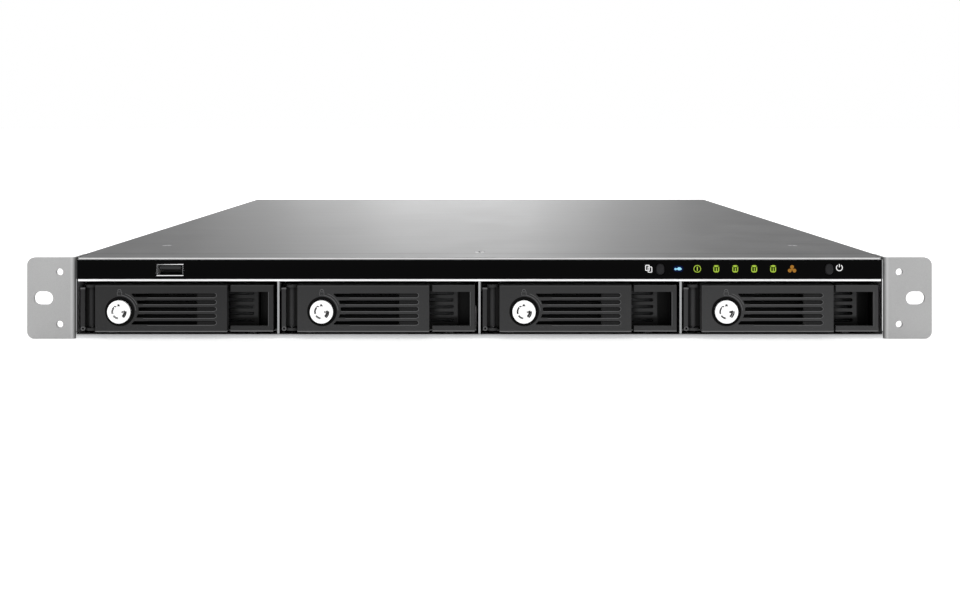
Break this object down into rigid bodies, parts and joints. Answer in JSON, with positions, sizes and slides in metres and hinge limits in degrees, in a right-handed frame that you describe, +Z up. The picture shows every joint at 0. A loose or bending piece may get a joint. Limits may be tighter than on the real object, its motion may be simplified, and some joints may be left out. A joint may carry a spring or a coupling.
{
  "type": "rack-mount nas enclosure",
  "caption": "Shallow rack-mount storage enclosure: lever-latched, lockable drive trays under a glossy control strip, with rack ears, perforated rear and internal power supply.",
  "frame": {"origin": "centre of the whole box in plan, on the plane of the case's underside", "axes": "+X to the right seen from the front, +Y from the front to the rear, +Z up"},
  "size_m": [0.4826, 0.505, 0.0434],
  "materials": {
    "case_steel": "satin grey paint over folded steel",
    "ear_steel": "fine-grained light grey paint",
    "zinc_steel": "zinc-plated sheet, left bare",
    "screw_steel": "bright plated screws",
    "bezel_black": "glossy black",
    "tray_black": "matt near-black, with a moulded grain",
    "button_grey": "satin dark grey",
    "lock_chrome": "bright plated",
    "port_metal": "bright tinned shell",
    "board_green": "circuit board lacquer",
    "lamp_clear": "clear light pipe",
    "socket_black": "matt black moulding",
    "drive_alloy": "cast housing with a satin lid",
    "sink_alloy": "extruded, natural",
    "wire_yellow": "bundled wires"
  },
  "bodies": {
    "chassis": {"chassis_base": "zinc_steel", "rear_panel": "zinc_steel", "top_cover": "case_steel", "front_top_rail": "case_steel", "drive_shelf": "zinc_steel", "bay_dividers": "zinc_steel", "ear_left": "ear_steel", "ear_right": "ear_steel", "front_bezel": "bezel_black", "light_pipes": "lamp_clear", "front_board": "board_green", "front_usb_port": "port_metal", "backplane": "board_green", "mainboard": "board_green", "heatsink": "sink_alloy", "memory_module": "board_green", "lan_ports": "port_metal", "rear_usb_ports": "port_metal", "esata_ports": "port_metal", "psu_case": "zinc_steel", "psu_inlet": "socket_black", "psu_fan_guard": "screw_steel", "fan_frames": "socket_black", "power_harness": "wire_yellow", "case_screws": "screw_steel"},
    "copy_button": {"copy_button": "button_grey"},
    "power_button": {"power_button": "button_grey"},
    "reset_button": {"reset_button": "socket_black"},
    "fan_rotor_1": {"fan_rotor_1": "socket_black"},
    "fan_rotor_2": {"fan_rotor_2": "socket_black"},
    "fan_rotor_3": {"fan_rotor_3": "socket_black"},
    "psu_fan_rotor": {"psu_fan_rotor": "socket_black"},
    "tray_1": {"tray_1_carrier": "zinc_steel", "tray_1_front": "tray_black", "tray_1_drive": "drive_alloy", "tray_1_pin_and_screws": "screw_steel"},
    "lever_1": {"tray_1_lever": "tray_black", "tray_1_lock_shell": "lock_chrome"},
    "lock_1": {"tray_1_lock_core": "lock_chrome"},
    "tray_2": {"tray_2_carrier": "zinc_steel", "tray_2_front": "tray_black", "tray_2_drive": "drive_alloy", "tray_2_pin_and_screws": "screw_steel"},
    "lever_2": {"tray_2_lever": "tray_black", "tray_2_lock_shell": "lock_chrome"},
    "lock_2": {"tray_2_lock_core": "lock_chrome"},
    "tray_3": {"tray_3_carrier": "zinc_steel", "tray_3_front": "tray_black", "tray_3_drive": "drive_alloy", "tray_3_pin_and_screws": "screw_steel"},
    "lever_3": {"tray_3_lever": "tray_black", "tray_3_lock_shell": "lock_chrome"},
    "lock_3": {"tray_3_lock_core": "lock_chrome"},
    "tray_4": {"tray_4_carrier": "zinc_steel", "tray_4_front": "tray_black", "tray_4_drive": "drive_alloy", "tray_4_pin_and_screws": "screw_steel"},
    "lever_4": {"tray_4_lever": "tray_black", "tray_4_lock_shell": "lock_chrome"},
    "lock_4": {"tray_4_lock_core": "lock_chrome"}
  },
  "joints": [
    {"name": "copy_button_press", "type": "slide", "parent": "chassis", "child": "copy_button", "axis": [0, 1, 0], "range_m": [0, 0.0007], "stiffness_N_per_m": 400, "springref_m": -0.001},
    {"name": "power_button_press", "type": "slide", "parent": "chassis", "child": "power_button", "axis": [0, 1, 0], "range_m": [0, 0.0007], "stiffness_N_per_m": 400, "springref_m": -0.001},
    {"name": "reset_button_press", "type": "slide", "parent": "chassis", "child": "reset_button", "axis": [0, -1, 0], "range_m": [0, 0.0005], "stiffness_N_per_m": 400, "springref_m": -0.001},
    {"name": "fan_spin_1", "type": "hinge", "parent": "chassis", "child": "fan_rotor_1", "pos_m": [-0.13, -0.0561, 0.0212], "axis": [0, 1, 0], "continuous": true},
    {"name": "fan_spin_2", "type": "hinge", "parent": "chassis", "child": "fan_rotor_2", "pos_m": [0, -0.0561, 0.0212], "axis": [0, 1, 0], "continuous": true},
    {"name": "fan_spin_3", "type": "hinge", "parent": "chassis", "child": "fan_rotor_3", "pos_m": [0.13, -0.0561, 0.0212], "axis": [0, 1, 0], "continuous": true},
    {"name": "psu_fan_spin", "type": "hinge", "parent": "chassis", "child": "psu_fan_rotor", "pos_m": [-0.1554, 0.2369, 0.0212], "axis": [0, 1, 0], "continuous": true},
    {"name": "tray_1_slide", "type": "slide", "parent": "chassis", "child": "tray_1", "axis": [0, -1, 0], "range_m": [0, 0.22]},
    {"name": "lever_1_swing", "type": "hinge", "parent": "tray_1", "child": "lever_1", "pos_m": [-0.2076, -0.2446, 0.0168], "axis": [0, 0, -1], "range_deg": [0, 75]},
    {"name": "lock_1_turn", "type": "hinge", "parent": "lever_1", "child": "lock_1", "pos_m": [-0.191, -0.2481, 0.015], "axis": [0, -1, 0], "range_deg": [0, 90]},
    {"name": "tray_2_slide", "type": "slide", "parent": "chassis", "child": "tray_2", "axis": [0, -1, 0], "range_m": [0, 0.22]},
    {"name": "lever_2_swing", "type": "hinge", "parent": "tray_2", "child": "lever_2", "pos_m": [-0.1003, -0.2446, 0.0168], "axis": [0, 0, -1], "range_deg": [0, 75]},
    {"name": "lock_2_turn", "type": "hinge", "parent": "lever_2", "child": "lock_2", "pos_m": [-0.0837, -0.2481, 0.015], "axis": [0, -1, 0], "range_deg": [0, 90]},
    {"name": "tray_3_slide", "type": "slide", "parent": "chassis", "child": "tray_3", "axis": [0, -1, 0], "range_m": [0, 0.22]},
    {"name": "lever_3_swing", "type": "hinge", "parent": "tray_3", "child": "lever_3", "pos_m": [0.007, -0.2446, 0.0168], "axis": [0, 0, -1], "range_deg": [0, 75]},
    {"name": "lock_3_turn", "type": "hinge", "parent": "lever_3", "child": "lock_3", "pos_m": [0.0236, -0.2481, 0.015], "axis": [0, -1, 0], "range_deg": [0, 90]},
    {"name": "tray_4_slide", "type": "slide", "parent": "chassis", "child": "tray_4", "axis": [0, -1, 0], "range_m": [0, 0.22]},
    {"name": "lever_4_swing", "type": "hinge", "parent": "tray_4", "child": "lever_4", "pos_m": [0.1143, -0.2446, 0.0168], "axis": [0, 0, -1], "range_deg": [0, 75]},
    {"name": "lock_4_turn", "type": "hinge", "parent": "lever_4", "child": "lock_4", "pos_m": [0.1309, -0.2481, 0.015], "axis": [0, -1, 0], "range_deg": [0, 90]}
  ]
}
